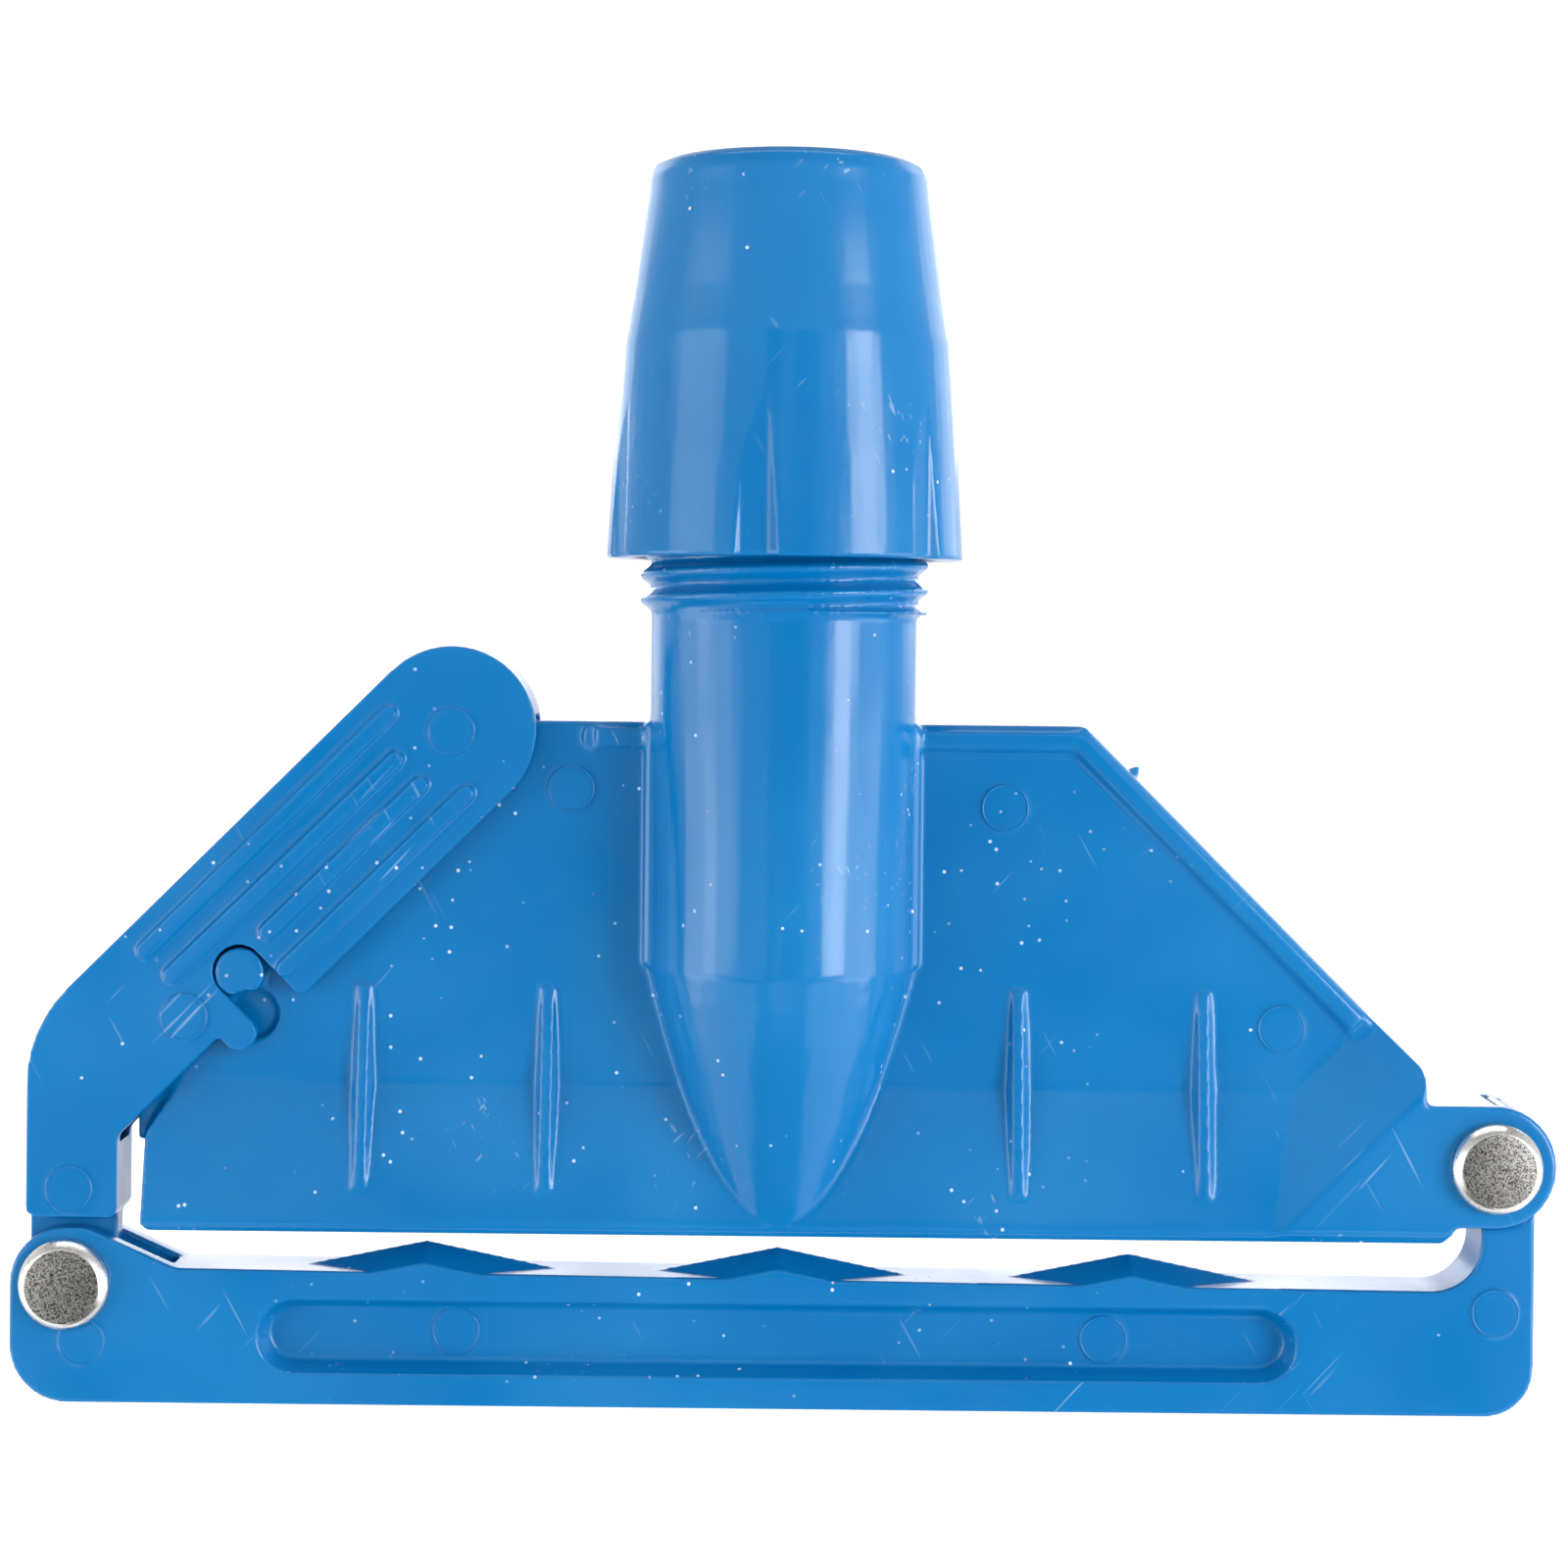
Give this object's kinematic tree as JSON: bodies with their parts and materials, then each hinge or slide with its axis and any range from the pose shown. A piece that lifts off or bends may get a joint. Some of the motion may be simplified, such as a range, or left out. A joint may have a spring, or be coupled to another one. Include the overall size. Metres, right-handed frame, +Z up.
{
  "type": "mop clamp head",
  "caption": "Hinged mop clamp head: plate with pole socket, screw collar, toothed jaw bar and swinging lock lever.",
  "frame": {"origin": "middle of the pole's seat, at the blind end of the pole socket", "axes": "+X along the jaw towards the bar's hinge, +Z up the pole out of the socket, front of the clamp faces -Y"},
  "size_m": [0.1853, 0.0432, 0.15],
  "materials": {
    "blue_plastic": "gloss injection-moulded polypropylene",
    "rivet_steel": "dull zinc-plated steel with a grainy flat"
  },
  "bodies": {
    "holder": {"clamp_holder": "blue_plastic", "hinge_rivet": "rivet_steel"},
    "sleeve": {"grip_sleeve": "blue_plastic"},
    "collar": {"pole_collar": "blue_plastic"},
    "bar": {"jaw_bar": "blue_plastic", "lever_rivet": "rivet_steel"},
    "lever": {"locking_lever": "blue_plastic"}
  },
  "joints": [
    {"name": "bar_hinge", "type": "hinge", "parent": "holder", "child": "bar", "pos_m": [0.0858, 0, -0.0278], "axis": [0, -1, 0], "range_deg": [0, 26]},
    {"name": "lever_hinge", "type": "hinge", "parent": "bar", "child": "lever", "pos_m": [-0.0855, 0, -0.0437], "axis": [0, -1, 0], "range_deg": [0, 91]},
    {"name": "sleeve_travel", "type": "slide", "parent": "holder", "child": "sleeve", "axis": [0, 0, 1], "range_m": [-0.0045, 0.0045]},
    {"name": "collar_turn", "type": "hinge", "parent": "sleeve", "child": "collar", "pos_m": [0, 0, 0.0442], "axis": [0, 0, 1], "range_deg": [-540, 540]}
  ],
  "couplings": [
    {"joint": "lever_hinge", "follows": "bar_hinge", "ratio": 3.5},
    {"joint": "sleeve_travel", "follows": "collar_turn", "m_per_rad": 0.00047746}
  ]
}
